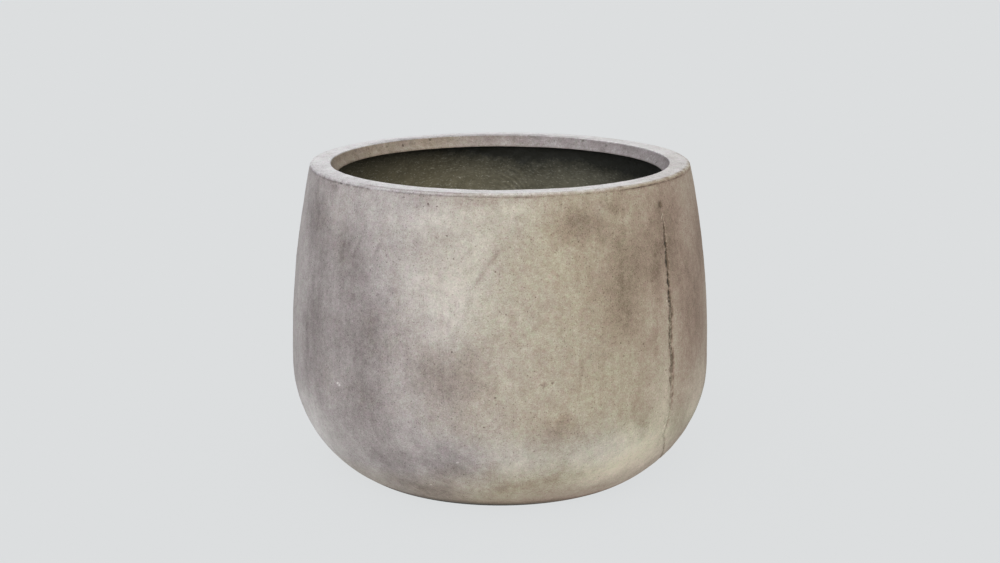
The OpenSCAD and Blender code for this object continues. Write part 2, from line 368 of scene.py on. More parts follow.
def joint_width(z, right):
    """Width of the open part of a joint at height z: closed with slurry near the rim, crisp below
    it, broken out and wide over the belly and narrow again under it."""
    if right:
        return np.interp(z, [0, 50, 84, 105, 141, 150, 226, 238, 246, 300, 312, 330, 340],
                         [1.8, 1.7, 1.5, 1.4, 1.7, 3.4, 4.4, 3.0, 3.6, 3.4, 1.9, 0.7, 0.3])
    return np.interp(z, [0, 60, 120, 180, 250, 320, 350], [1.8, 2.0, 3.2, 2.4, 3.4, 1.8, 0.3])


def wall_relief(points):
    """Slow unevenness of the cast face: waves about 90 mm long, with finer ones on them, which die
    out under the foot, where the bowl stands on the floor."""
    waves = 0.22 * ripple(points, 90, 1) + 0.08 * ripple(points, 28, 2) + 0.03 * ripple(points, 9, 3)
    return waves * np.clip(points[..., 2] / 14 - 0.2, 0, 1)


# Dents and burst air bubbles, as (turn, height, width, depth) in degrees and mm.
dents = [
    (50.9, 344.5, 6.0, 1.1), (11.0, 166.5, 5.0, 0.9), (12.8, 168.0, 4.0, 0.7), (118, 250, 5.0, 1.0),
    (205, 180, 4.5, 1.0), (-19.8, 357.0, 3.0, 0.9), (160, 210, 3.0, 0.8), (250, 140, 3.0, 0.8),
]
# Pinholes too small for the mesh, as rows like the patina's.
pinholes = [
    (50.9, 344.5, 13, 13, -0.3), (10.2, 166.8, 5, 2.4, -0.5), (13, 168, 4, 2.4, -0.5),
    (-19.8, 358, 3.3, 3.3, -1.2), (-27.2, 363, 2.6, 2.6, -1), (-17.2, 356, 2.6, 2.6, -1),
    (-1.2, 289.5, 2.6, 2.6, -1.1), (-12, 202.5, 3.3, 3.3, -1.1), (1.5, 244, 2.6, 2.6, -1),
    (-1.2, 153.5, 3.3, 2.6, -1.1), (48, 160.5, 3.3, 2.6, -1), (32, 203.5, 2.6, 2.6, -0.9),
    (33, 188.5, 2, 3.3, -0.9), (39.5, 197.5, 2.6, 2.6, -0.9), (-12, 302, 2.6, 2.6, -0.9),
    (-14, 326, 3.3, 2.6, -0.9), (9, 262, 2.6, 2.6, -0.9), (21, 318, 2.6, 2.6, -0.9),
    (-4, 120, 3.3, 2.6, -0.9),
]
# Flecks of lime, as (turn, height, strength).
flecks = [(-46.6, 146.6, 1.5), (-46.0, 144.4, 1.5), (-11, 74.5, 1.2), (-21, 37, 1.0), (140, 90, 1.2)]
# Strokes that a trowel or running water left, as (points (turn, height), width, darkness).
strokes = [
    ([(0.5, 313), (-3, 298), (-6, 277)], 2.6, 0.22), ([(6, 334), (0.5, 313)], 3.0, 0.08),
    ([(-6, 277), (-9, 240), (-12, 208)], 4.0, 0.10), ([(34.5, 330), (32, 232)], 6.5, 0.15),
    ([(46, 290), (43.5, 161)], 6.5, 0.15), ([(21.3, 190), (19.8, 154)], 1.8, 0.16),
    ([(-1, 38), (6, 43), (19, 52), (29, 60)], 8.0, 0.17), ([(-54, 325), (-55, 262)], 3.5, 0.14),
    ([(-62, 335), (-60, 240)], 3.5, 0.12), ([(-46, 322), (-47, 285)], 3.0, 0.16),
    ([(-39, 326), (-42, 294)], 2.6, 0.18), ([(-33, 313), (-35, 297)], 2.4, 0.14),
    ([(-63, 200), (-62, 162)], 3.0, 0.18), ([(200, 320), (203, 210)], 6.0, 0.20),
    ([(130, 300), (127, 190)], 5.0, 0.16), ([(-66, 362), (-51, 361)], 4.0, 0.2),
]


def on_wall(turn, height):
    """Point of the wall's face in the direction turn, in degrees, at the height."""
    r, a = wall_radius(height), np.radians(turn)
    return np.array([r * np.sin(a), -r * np.cos(a), height])


def stroke_shade(points):
    """Darkness of the strokes at points: each fades from its line as a bell curve, by the distance
    to the nearest point of each straight stretch."""
    shade = np.zeros(points.shape[:-1])
    for corners, width, dark in strokes:
        gap = np.full(points.shape[:-1], 1e6)
        for a, b in zip(corners[:-1], corners[1:]):
            a, b = on_wall(*a), on_wall(*b)
            share = np.clip((points - a) @ (b - a) / ((b - a) @ (b - a)), 0, 1)
            gap = np.minimum(gap, np.linalg.norm(points - a - share[..., None] * (b - a), axis=-1))
        shade += dark * np.exp(-(gap / width) ** 2)
    return shade * np.clip(0.9 + 0.35 * ripple(points, 14, 24), 0.3, 1.4)


def joint_edge(loop, is_right, side):
    """Directions of a panel's edge beside a joint, row by row: the joint's course, less half its
    open width where side is 1 and more where it is -1. The edge is ragged where the joint is
    broken out, and most near the top."""
    r, z = loop[:, 0], loop[:, 1]
    places = np.stack([z, r], 1)
    ragged = ripple(places, 7, 11 if is_right else 12) * 0.5 + ripple(places, 2.6, 13) * 0.3
    ragged *= np.clip(joint_width(z, is_right) - 0.8, 0, 2) * (0.14 if side > 0 else 0.26)
    ragged *= np.interp(z, [240, 280, 310], [1, 1.6, 2.4])
    half = np.maximum(joint_width(z, is_right) / 2 + ragged, 0.1)
    if not is_right:
        return left_turn - side * half / r
    course, slope = right_joint(r, z)
    return course - side * half * np.sqrt(1 + slope**2) / r


def panel_columns():
    """Places of a panel's columns across it, 0 to 1: from 0.7 mm apart beside the joints to about
    2.9 mm apart between them."""
    near = np.cumsum(np.concatenate([[0], np.linspace(0.7, 2.8, 22)]))
    length = belly_r * np.pi
    middle = np.linspace(near[-1], length - near[-1], int((length - 2 * near[-1]) / 2.9))[1:-1]
    return np.concatenate([near, middle, length - near[::-1]]) / length


def foot_contact_shadow(turn, height):
    """Painted contact shadow at the foot, where it stands on the floor, most at the front: a dark line
    and a faint band above it, each of which falls off as a bell curve with the height."""
    # How strong the painted shadow is in each direction.
    varying = np.interp(np.degrees(turn) % 360, [0, 8, 30, 60, 200, 300, 330, 360],
                     [1, 0.8, 0.25, 0.15, 0.3, 0.15, 0.9, 1])
    return 2.2 * varying**0.5 * np.exp(-(height / 8.0) ** 2) + 0.2 * varying * np.exp(-(height / 20) ** 2)


def beside_joint(front, gap, height, is_right, is_start):
    """How far the face is broken down at gap mm from a joint, and how soiled and limed it is.
    Where the joint is open, its edge has crumbled within about 1.6 mm. The right joint has a rough,
    dirty strip beside it over the belly, on the panel that starts there, and lime chips at that
    strip's two ends on the other panel. Flakes of lime lie on both sides of its top."""
    open_here = np.clip(joint_width(height, is_right) - 0.8, 0, 2) / 2
    crumbled = np.clip(ripple(front, 5, 21) * 0.5 + 0.6, 0, 1.4)
    sunk = open_here * crumbled * 0.9 * np.exp(-(gap / 1.6) ** 2)
    soiled = open_here * crumbled * 0.8 * np.exp(-(gap / 1.5) ** 2)
    if not is_right:
        return sunk, soiled, np.zeros_like(gap)
    flaked = np.interp(height, [286, 296, 332, 338], [0, 0.7, 1, 0])
    limed = flaked * np.clip(ripple(front, 3.6, 26) * 0.6 + 0.2, 0, 1.2) * np.exp(
        -((gap - 1) / 1.6) ** 2)
    if is_start:
        strip = np.interp(height, [100, 140, 226, 240], [0, 1, 1, 0]) * np.clip(2.2 - gap / 2.2, 0, 1)
        sunk += strip * np.clip(0.4 + 0.5 * ripple(front, 8, 22), 0, 1.5) * 0.35
        soiled += strip * np.clip(0.35 + 0.3 * ripple(front, 8, 23), 0, 0.8)
    else:
        chips = np.interp(height, [78, 84, 106, 112, 228, 232, 240, 246], [0, 1, 1, 0, 0, 0.7, 0.7, 0])
        limed += 1.3 * chips * np.clip(ripple(front, 4, 25) - 0.2, 0, 1.2) * np.exp(
            -((gap - 3) / 2.5) ** 2)
    return sunk, soiled, limed


def dents_in(front):
    """Depth and darkness of the dents at points of a panel. Each is a flat-bottomed pit that falls
    off as exp(-x**4) with the distance from the panel's point nearest to its place."""
    sunk, dark = np.zeros(front.shape[:2]), np.zeros(front.shape[:2])
    for turn_at, height_at, width, depth in dents:
        away = np.linalg.norm(front - on_wall(turn_at, height_at), axis=-1)
        if away.min() < 3:
            away = np.linalg.norm(front - front.reshape(-1, 3)[away.argmin()], axis=-1)
            hole = np.exp(-(away / (width / 2)) ** 4)
            sunk += depth * hole
            dark += 0.35 * hole
    return sunk, dark


def lime_flecks(front):
    """Strength of the lime flecks at points of a panel: each is the one point nearest to its place."""
    limed = np.zeros(front.shape[:2])
    for turn_at, height_at, strength in flecks:
        away = np.linalg.norm(front - on_wall(turn_at, height_at), axis=-1)
        limed += strength * (away == away.min()) * (away < 3)
    return limed


def wall_buff(points):
    """How buff the wall shows: as on every face, with more at the foot and less in a band above it,
    each as a bell curve of the height."""
    z = points[..., 2]
    return buff_side(points) + 0.5 * np.exp(-(z / 45) ** 2) - 0.35 * np.exp(-((z - 82) / 28) ** 2)


def shell_panel(name, node, start, end, right_at_start, material):
    """One half of the skin. The outer run is carried between the joints' ragged edges, with
    columns close together beside the joints, and the plain inner run closes it behind. start and
    end are whole turns, in radians, added to its two edges so that it runs the right way round."""
    outer = face_run(1.8)
    inner = np.vstack([
        [(wall_radius(cap_z, skin_t), cap_z)], face_run(9.0, inset=skin_t, low=base_z)[::-1][1:],
        along([(foot_step_r, base_z), (foot_step_r, step_z), (foot_inner_r, step_z)], 6.0)])
    loop = np.vstack([outer, inner])
    first = joint_edge(loop, right_at_start, -1) + start
    last = joint_edge(loop, not right_at_start, 1) + end
    turn = first[:, None] + (last - first)[:, None] * panel_columns()
    points = revolve(loop, turn)

    front, turn, height = points[:len(outer)], turn[:len(outer)], outer[:, 1:]
    lift, limed = wall_relief(front), lime_flecks(front)
    # The dirt of the strokes, with the foot's painted contact shadow added to it.
    soiled = stroke_shade(front) + foot_contact_shadow(turn, height)
    for edge, is_right, is_start in ((turn[:, :1], right_at_start, True),
                                     (turn[:, -1:], not right_at_start, False)):
        sunk, dirt, lime = beside_joint(front, np.abs(turn - edge) * outer[:, :1], height, is_right, is_start)
        lift, soiled, limed = lift - sunk, soiled + dirt, limed + lime
    sunk, dirt = dents_in(front)
    top_edge = np.exp(-((cap_z - height) / 0.9) ** 2)
    lift -= sunk + 0.12 * top_edge
    soiled += dirt + top_edge * cap_line(np.degrees(turn)) + 0.04 * np.exp(-((cap_z - height) / 5) ** 2)
    points[:len(outer)] = pushed(front, outer, lift)
    return piece(name, points, closed_bar(points, len(outer)), material, "cast_concrete", node,
                 soiled=soiled, limed=limed, buff=wall_buff(points))


def cap_line(turn):
    """How dark the hairline joint under the rim shows, 0 to 1, at each direction in degrees: clear
    at the middle of the front and at the front corners, almost lost elsewhere."""
    turn = (turn + 180) % 360 - 180
    spots = [(6, 5, 0.4), (-57, 6, 0.4), (-44, 5, 0.3), (64, 7, 0.3), (42, 10, 0.3), (150, 25, 0.5)]
    shade = sum(dark * np.exp(-((turn - middle) / width) ** 2) for middle, width, dark in spots)
    return np.clip(shade + 0.03 + 0.10 * ripple(np.radians(turn)[..., None] * belly_r, 14, 31), 0, 1)


wall_concrete = cast_concrete("cast_glass_fibre_concrete", (
    "#6C6462", "#989190", "#AEA8A6", "#D2CECC", "#6F6150", "#9D8E7C", "#AFA894", "#D6CDB8"),
    [(26, 7.0, 0.12), (9, 10.0, 0.20)])
shell_panel("shell_front", "shell_front", -2 * np.pi, 0.0, False, wall_concrete)
shell_panel("shell_back", "shell_back", 0.0, 0.0, True, wall_concrete)

# ---------------------------------------------------------------------------------------------
# Joint mortar. Both joints are packed with a cement mortar from outside and struck off by hand,
# so it lies a little below the faces, rough and darker, and is floated flush near the rim.

liner_t, skin_top, butt_r = 4.0, 354.0, 157.0
liner_in, floor_z = skin_t + liner_t, base_z + liner_t


def joint_depth(z, right):
    """How far the mortar lies below the wall's face at height z."""
    if right:
        return np.interp(z, [0, 50, 84, 105, 141, 165, 224, 238, 246, 306, 332, 340],
                         [0.5, 0.5, 0.5, 0.4, 0.35, 0.5, 0.62, 0.6, 1.5, 1.4, 0.5, 0.05])
    return np.interp(z, [0, 60, 120, 180, 250, 320, 350], [0.3, 0.5, 1.0, 0.7, 1.2, 0.8, 0.05])


def joint_bar(name, node, is_right, material):
    """Mortar bar carried up the wall in the joint, through the skin and its backing. Its face is
    rough, darkest along its edges and most uneven near the top, with the first dent in it, and it
    bites a hair into the ragged edges on both sides, as poured mortar does."""
    outer = face_run(1.4)
    inner = np.vstack([
        [(wall_radius(cap_z, skin_t), cap_z)],
        face_run(9.0, inset=liner_in, low=floor_z, top=skin_top)[::-1],
        [(butt_r, floor_z), (butt_r, base_z), (foot_step_r, base_z),
         (foot_step_r, step_z), (foot_inner_r, step_z)]])
    loop = np.vstack([outer, inner])
    r, z = loop[:, 0], loop[:, 1]
    course, slope = right_joint(r, z) if is_right else (np.full_like(r, left_turn), 0.0)
    half = (joint_width(z, is_right) / 2 + 0.45) * np.sqrt(1 + slope**2)
    across = np.linspace(-1, 1, 11)
    points = revolve(loop, course[:, None] + (half / r)[:, None] * across)
    front = points[:len(outer)]
    depth = joint_depth(outer[:, 1:], is_right)
    rough = 0.20 * ripple(front, 3.6, 41) + 0.14 * ripple(front, 1.7, 42)
    lift = wall_relief(front) - depth + rough * np.clip(depth, 0, 1)
    lift = np.minimum(lift, wall_relief(front) - 0.03)
    turn_at, height_at, width, deep = dents[0]
    hole = np.exp(-(np.linalg.norm(front - on_wall(turn_at, height_at), axis=-1) / (width / 2)) ** 4)
    points[:len(outer)] = pushed(front, outer, lift - deep * hole)
    edges_dark = np.interp(across, [-0.8, -0.2, 0.3, 0.8], [1.6, 0.75, 0.55, 1.1])
    uneven = np.interp(outer[:, 1:], [240, 290], [0.3, 0.55])
    dark = np.clip(depth - 0.1, 0, 1.4) * edges_dark * np.clip(
        0.9 + uneven * (ripple(front, 6, 43) + ripple(front, 2.4, 44)), 0.1, 1.6) + 0.35 * hole
    return piece(name, points, closed_bar(points, len(outer)), material, "joint_mortar", node,
                 soiled=dark, buff=np.minimum(buff_side(points), 1.0))


mortar = cast_concrete("struck_cement_mortar", (
    "#4B4643", "#8C8584", "#AEA8A6", "#D2CECC", "#4A4237", "#918371", "#AEA895", "#D3CEBD"))
joint_bar("joint_mortar_right", "joint_grout_right", True, mortar)
joint_bar("joint_mortar_left", "joint_grout_left", False, mortar)

# ---------------------------------------------------------------------------------------------
# Rim ring. A flat concrete ring is cast on the wall's top edge in a finer, paler mix, with a lip
# that turns down inside, and is smoothed with a steel trowel, which leaves faint rings on top.

rim_z, lip_z = 371.0, 357.0
mouth_r, lip_r = 200.2, 192.7
mouth_round, mouth_x = 1.2, 201.1
edge_round, edge_x, edge_start = 3.0, 221.1, 368.65
side_from_r = 219.0


def turned(name, loop, columns, lift_of, material, slot, *nodes, **mark_of):
    """Closed loop of rows (radius, height) carried all the way round the axis. lift_of gives how
    far each point moves out along the loop's own direction, and mark_of the named values."""
    points = revolve(loop, np.linspace(0, 2 * np.pi, columns, endpoint=False))
    ahead, behind = np.roll(loop, -1, axis=0) - loop, loop - np.roll(loop, 1, axis=0)
    way = ahead / np.linalg.norm(ahead, axis=1, keepdims=True) + behind / np.linalg.norm(
        behind, axis=1, keepdims=True)
    way /= np.linalg.norm(way, axis=1, keepdims=True)
    around = points[..., :2] / np.linalg.norm(points[..., :2], axis=-1, keepdims=True)
    lift = lift_of(points, loop)[..., None]
    moved = points + np.concatenate([around * way[:, None, 1:], np.broadcast_to(
        -way[:, None, :1], points.shape[:2] + (1,))], -1) * lift
    number = np.arange(points.shape[0] * points.shape[1]).reshape(points.shape[:2])
    up, on = np.roll(number, -1, axis=0), np.roll(number, -1, axis=1)
    quads = np.stack([number, on, np.roll(up, -1, axis=1), up], -1).reshape(-1, 4)
    return piece(name, moved, quads.tolist(), material, slot, *nodes,
                 **{mark: value(points, loop) for mark, value in mark_of.items()})


def rim_loop():
    """Section of the rim ring: up the side, round the edge, over the flat top, down the lip, under
    it and back up against the wall's inside to the cap joint."""
    side = np.array([(wall_radius(z), z) for z in (cap_z, cap_z + 0.5, cap_z + 1.1, edge_start)])
    turn = np.linspace(0.05, np.pi / 2, 9)
    bend = np.stack([edge_x + edge_round * np.cos(turn), rim_z - edge_round * (1 - np.sin(turn))], 1)
    top = along([(edge_x, rim_z), (mouth_x, rim_z)], 1.0)[1:]
    turn = np.linspace(np.pi / 2 + 0.3, np.pi + 0.1, 4)
    mouth = np.stack([mouth_x + mouth_round * np.cos(turn), rim_z - mouth_round * (1 - np.sin(turn))], 1)
    lip = along([mouth[-1], (lip_r, lip_z)], 1.2)[1:]
    back = along([(lip_r, lip_z), (wall_radius(lip_z, skin_t), lip_z),
                  (wall_radius(cap_z, skin_t), cap_z), (wall_radius(cap_z), cap_z)], 4.0)
    return np.vstack([side, bend, top, mouth, lip, back[1:-1]])


def on_side(loop):
    """1 on the ring's outer edge and side, the rows further out than side_from_r, 0 elsewhere."""
    return loop[:, :1] > side_from_r


def on_lip(loop):
    """1 on the lip's inner face, falling to 0 at the top, and 0 elsewhere, by row."""
    return (loop[:, :1] < mouth_r + mouth_round) * np.clip(rim_z - 0.4 - loop[:, 1:], 0, 1)


# Pinholes in the lip, as (turn, height, darkness) in degrees and mm.
lip_pits = [(226.3, 365.6, 0.6), (218.9, 364.2, 1.3), (206.9, 368.3, 0.9), (137.1, 365.6, 0.7),
            (147.7, 368.4, 0.9), (235.7, 366.9, 0.5), (103.4, 360.1, 0.5)]


def lip_dots(points):
    """Darkness of the lip's pinholes at points: each fades from its middle as a bell curve about
    1.5 mm wide."""
    shade = np.zeros(points.shape[:-1])
    for turn_at, height_at, dark in lip_pits:
        r, a = np.interp(height_at, [lip_z, rim_z], [lip_r, mouth_r]), np.radians(turn_at)
        away = np.linalg.norm(points - [r * np.sin(a), -r * np.cos(a), height_at], axis=-1)
        shade += dark * np.exp(-((away - away.min()) / 0.8) ** 2)
    return shade


def rim_relief(points, loop):
    """Unevenness of the ring: the wall's own waves, weaker, a ragged lower arris where the ring's
    skin has broken along the cap joint, a wavering outer edge, and the lip's pinholes."""
    lower = on_side(loop) * np.exp(-(np.maximum(loop[:, 1:] - cap_z, 0) / 0.9) ** 2)
    broken = np.clip(ripple(points, 6, 51) * 0.5 + ripple(points, 2.6, 52) * 0.35, 0, 1.5)
    edge = on_side(loop) * np.exp(-((loop[:, 1:] - rim_z + 1.1) / 1.0) ** 2)
    rounded = 0.12 * ripple(points, 14, 53) + 0.08 * ripple(points, 5, 54)
    holes = 0.5 * lip_dots(points) * on_lip(loop)
    return 0.6 * wall_relief(points) - lower * (
        0.1 + broken * cap_line(turn_of(points)) * 0.9) + edge * rounded - holes


def on_top(points, loop):
    """1 on the ring's flat top and 0 on its lip. It falls to about half round the ring's outer edge
    in front, hardly so at the back, and to 0 down the ring's side, so that the paleness laid with it
    is painted light on the top and leaves painted shade on the side and the rounded front edge."""
    inner = np.clip((loop[:, 1:] - rim_z + 2.2) / 1.2, 0, 1)
    outer = np.interp(loop[:, 1:], [cap_z, rim_z - 2, rim_z - 0.4], [0, 0.3, 1])
    ahead = np.clip(0.5 - points[..., 1] / 300, 0.1, 1)
    fall = np.interp(loop[:, :1], [side_from_r - 0.2, side_from_r + 3.3], [0, 0.55])
    return (1 - ahead * fall) * np.where(loop[:, :1] < (mouth_x + edge_x) / 2, inner, outer)


def rim_dirt_and_shade(points, loop):
    """Dirt and painted shade on the ring: dirt in the cap joint; painted shade down its side, with dirt
    in blots over it and round its edge, most at the front right; dirt in a line round its edge at
    the front left; and on the lip painted shade, darker on the right, most near the top and along
    the lower arris, with dirt in its pinholes."""
    turn, z = turn_of(points), loop[:, 1:]
    low = np.exp(-(np.maximum(z - cap_z, 0) / 0.8) ** 2) * cap_line(turn)
    # Down the side a base of painted shade, as the side gets less light than the top, and dirt most at the
    # front right.
    grime_and_shade_share = 0.14 + 0.20 * np.clip(1 - np.abs(turn - 65) / 30, 0, 1)
    side = grime_and_shade_share * np.clip((rim_z - 1 - z) / 3, 0, 1) * np.clip(0.9 + 0.7 * ripple(points, 13, 60), 0, 2.4)
    line = np.interp(turn, [-48, -36, -12, -4], [0, 1, 1, 0]) * np.exp(-((z - rim_z + 0.6) / 0.45) ** 2)
    blots = np.interp(turn, [12, 32, 85, 110], [0, 1, 1, 0]) * np.clip(ripple(points, 10, 65), 0, 1.6)
    round_edge = np.exp(-((loop[:, :1] - side_from_r - 3) / 2.5) ** 2) * (z > cap_z)
    mottled = 0.03 * ripple(points * [1, 1, 2], 24, 56) + 0.03 * ripple(points, 9, 57)
    # On the lip: painted shade, darker on the right, and by height darker near the top and along the lower
    # arris.
    shaded = 0.22 + 0.06 * np.sin(np.radians(turn) + 0.35)
    lip_shade_by_height = np.interp(z, [lip_z + 0.4, lip_z + 1.6, lip_z + 4, lip_z + 10, rim_z],
                        [0.3, -0.06, -0.03, 0.10, 0.14])
    return on_side(loop) * (low + side + 0.45 * line) + 0.28 * blots * round_edge + on_lip(loop) * (
        shaded + mottled + lip_dots(points) + lip_shade_by_height)


def rim_pale_and_top_light(points, loop):
    """Where the ring is painted pale: fine pale cement, and with it painted light on the top, which
    faces the light from above, all over the trowelled top, in faint rings, less at the front corners
    and least at the back along the mouth."""
    r, turn = loop[:, :1], turn_of(points)
    rings = np.exp(-((r - 217.5) / 1.2) ** 2) + 0.6 * np.exp(-((r - 211) / 1.2) ** 2)
    rings = 0.16 * rings * np.clip(0.5 + ripple(points, 60, 55), 0, 1)
    varying = 0.05 * ripple(points, 45, 58) + 0.04 * ripple(points, 16, 59)
    far = np.clip((np.abs(turn - 10) - 122) / 30, 0, 1)
    dull = np.interp(turn, [-180, -150, -120, -100, -80, -40, -10, 40, 80, 110, 130],
                     [0.07, 0.0, -0.1, 0.05, 0.2, 0.2, 0, 0, 0.44, 0.14, 0.07])
    dull += 0.9 * far * np.clip((212 - r) / 9, 0, 1)
    return on_top(points, loop) * (1.1 - dull - rings + varying)


def rim_buff(points, loop):
    """The ring's side is as buff as the wall below it, its top hardly so, and its lip is buff on the
    left and grey on the right."""
    left = np.clip((95 - np.abs((turn_of(points) + 105 + 180) % 360 - 180)) / 60, 0, 0.8)
    return np.where(on_lip(loop) > 0.5, left, buff_side(points) * (1 - 0.85 * on_top(points, loop)))


rim_concrete = cast_concrete("trowelled_fine_concrete", (
    "#6F6866", "#9A9394", "#B9B5B7", "#E9E8EB", "#6E5F4F", "#9D8E7C", "#B0A695", "#E3DDD3"))
# The ring's pale mark is partly painted top light, and its dirt mark holds painted shade on the side and the
# lip.
turned("rim_ring", rim_loop(), 900, rim_relief, rim_concrete, "trowelled_concrete", "rim_ring",
       soiled=rim_dirt_and_shade, pale=rim_pale_and_top_light, buff=rim_buff)

# ---------------------------------------------------------------------------------------------
# Base disc. A flat concrete plate is let into the shell's foot from below and bedded on its step.
# It is cast on a board, so its underside is smooth, with the drain hole formed in its middle.

base_concrete = cast_concrete("board_cast_concrete", (
    "#6E6762", "#98918C", "#ABA5A0", "#C9C4BE", "#6C6255", "#988E79", "#ABA28F", "#C6BEAE"))
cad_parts["base_disc"].data.materials[0] = base_concrete

# ---------------------------------------------------------------------------------------------
# Glass-fibre backing. The inside of both halves and of the base is laid up with chopped strand
# mat in polyester resin, rolled on wet, so that strands show through the dark, glossy resin.

# The mat's pattern is laid out at the radius sheet_r, half_gap is half the gap between the
# backings of the two halves, where the mortar comes through, and corner_r is where the backing of
# the wall turns in over the base.
sheet_r, half_gap, corner_r, drain_r = 230.0, 2.0, 173.8, 15.0


def laid_up(points, run):
    """Place on the laid sheet, in metres: distance round the wall at sheet_r, and distance along
    the run."""
    turn = np.unwrap(np.arctan2(points[..., 0], -points[..., 1]), axis=1)
    path = np.concatenate([[0], np.cumsum(np.linalg.norm(np.diff(run, axis=0), axis=1))])
    path = np.broadcast_to(path[:, None], turn.shape)
    return np.stack([turn * sheet_r, path, np.zeros_like(turn)], -1) * MM


def strand_and_glint_bars(tree, sheet, spacing, length, width, spread, shift):
    """Short straight bars strewn over the sheet, which draw the strands and their painted glints, about
    spacing mm apart: each cell of a scattered pattern has one, turned by up to half of spread either
    way by the cell's random colour. A second channel of it says how bright it is, and two in five
    don't show."""
    moved = add(tree, "ShaderNodeMapping", {"Location": (shift, 0.7 * shift, 0.0)}, {"Vector": sheet})
    cells = add(tree, "ShaderNodeTexVoronoi", {"voronoi_dimensions": "2D", "Scale": 1 / (spacing * MM)},
                {"Vector": moved.outputs[0]})
    chance = add(tree, "ShaderNodeSeparateColor", links={0: cells.outputs["Color"]})
    angle = add(tree, "ShaderNodeMath", {"operation": "MULTIPLY_ADD", 1: spread, 2: -spread / 2},
                {0: chance.outputs[0]})
    inward = add(tree, "ShaderNodeVectorMath", {"operation": "SUBTRACT"},
                 {0: moved.outputs[0], 1: cells.outputs["Position"]})
    laid = add(tree, "ShaderNodeVectorRotate", {"rotation_type": "Z_AXIS"},
               {"Vector": inward.outputs[0], "Angle": angle.outputs[0]})
    across = add(tree, "ShaderNodeSeparateXYZ", links={0: laid.outputs[0]})
    bars = []
    for socket, half in ((across.outputs["X"], length / 2), (across.outputs["Y"], width / 2)):
        off = add(tree, "ShaderNodeMath", {"operation": "ABSOLUTE"}, {0: socket})
        bars.append(add(tree, "ShaderNodeMapRange", {
            "From Min": half * MM, "From Max": half * 0.4 * MM}, {"Value": off.outputs[0]}).outputs[0])
    bar = add(tree, "ShaderNodeMath", {"operation": "MULTIPLY"}, {0: bars[0], 1: bars[1]})
    bright = add(tree, "ShaderNodeMapRange", {"From Min": 0.4}, {"Value": chance.outputs[1]})
    return add(tree, "ShaderNodeMath", {"operation": "MULTIPLY"}, {
        0: bar.outputs[0], 1: bright.outputs[0]}).outputs[0]


def strand_mat(name, tones, gloss, shown):
    """Glass-fibre mat in resin: dark olive resin, cloudy where it is thick, painted darker where the
    shade mark paints shade, and brown in places, with paler strands strewn in it, painted glints on
    the short ones, and a rolled, dimpled surface. tones are the resin's thin, thick and brown colours
    and the colour of the strands and their glints. Strands under 1 mm wide are drawn 1 mm wide to
    show."""
    made, tree, shader = new_material(name, Metallic=0.0, IOR=1.54, **{"Specular IOR Level": 0.45})
    place = add(tree, "ShaderNodeTexCoord").outputs["Object"]
    sheet = add(tree, "ShaderNodeAttribute", {"attribute_name": "sheet"}).outputs["Vector"]
    shade, brown = (add(tree, "ShaderNodeAttribute", {"attribute_name": key}).outputs["Fac"]
                    for key in ("shade", "brown"))
    bent = add(tree, "ShaderNodeTexNoise", {"Scale": 1 / (18 * MM), "Detail": 1.0}, {"Vector": sheet})
    off = add(tree, "ShaderNodeVectorMath", {"operation": "MULTIPLY_ADD", 1: (0.012, 0.012, 0.0),
                                             2: (-0.006, -0.006, 0.0)}, {0: bent.outputs["Color"]})
    laid = add(tree, "ShaderNodeVectorMath", {"operation": "ADD"}, {0: sheet, 1: off.outputs[0]}).outputs[0]
    # The two long, faint layers are strands; the three short, bright, mostly level ones are painted glints
    # where the rolled strands catch the light.
    strands_and_glints = sum_of(tree, [(strand_and_glint_bars(tree, laid, *sizes), weight) for *sizes, weight in (
        (26, 25, 1.2, np.pi, 0.0, 0.22), (17, 13, 1.1, np.pi, 0.31, 0.26), (8, 5, 1.1, 1.4, 0.57, 0.7),
        (4.6, 3.4, 1.0, 0.9, 0.83, 0.8), (3.4, 2.8, 1.0, 0.7, 1.21, 0.5))])
    cloudy = mottle(tree, place, [(70, 1.0, 0.25), (24, 1.0, 0.22), (8, 1.0, 0.25), (3, 1.0, 0.3)])
    thick_and_shaded = add(tree, "ShaderNodeMath", {"operation": "ADD", 1: 0.5, "use_clamp": True}, {
        0: sum_of(tree, [(cloudy, 1.0), (shade, 1.0)])})
    resin = add(tree, "ShaderNodeValToRGB", {"stops": [(0.15, tones[0]), (0.95, tones[1])]},
                {"Fac": thick_and_shaded.outputs[0]})
    stained = add(tree, "ShaderNodeMix", {"data_type": "RGBA", "blend_type": "MULTIPLY",
                                          7: to_linear(tones[2])}, {0: brown, 6: resin.outputs[0]})
    seen = add(tree, "ShaderNodeMath", {"operation": "MULTIPLY_ADD", 1: -shown, 2: shown, "use_clamp": True},
               {0: thick_and_shaded.outputs[0]})
    share = add(tree, "ShaderNodeMath", {"operation": "MULTIPLY", "use_clamp": True}, {
        0: strands_and_glints, 1: seen.outputs[0]})
    paint = add(tree, "ShaderNodeMix", {"data_type": "RGBA", 7: to_linear(tones[3])}, {
        0: share.outputs[0], 6: stained.outputs[2]})
    tree.links.new(paint.outputs[2], shader.inputs["Base Color"])
    wet = add(tree, "ShaderNodeMapRange", {"To Min": gloss, "To Max": gloss + 0.25},
              {"Value": thick_and_shaded.outputs[0]})
    tree.links.new(wet.outputs[0], shader.inputs["Roughness"])
    skin = sum_of(tree, [(strands_and_glints, 0.5), (mottle(tree, place, [(7, 1.0, 1.4), (2.5, 1.0, 0.5)]), 1.0)])
    bump = add(tree, "ShaderNodeBump", {"Strength": 0.6, "Distance": 0.0008}, {"Height": skin})
    tree.links.new(bump.outputs[0], shader.inputs["Normal"])
    return made


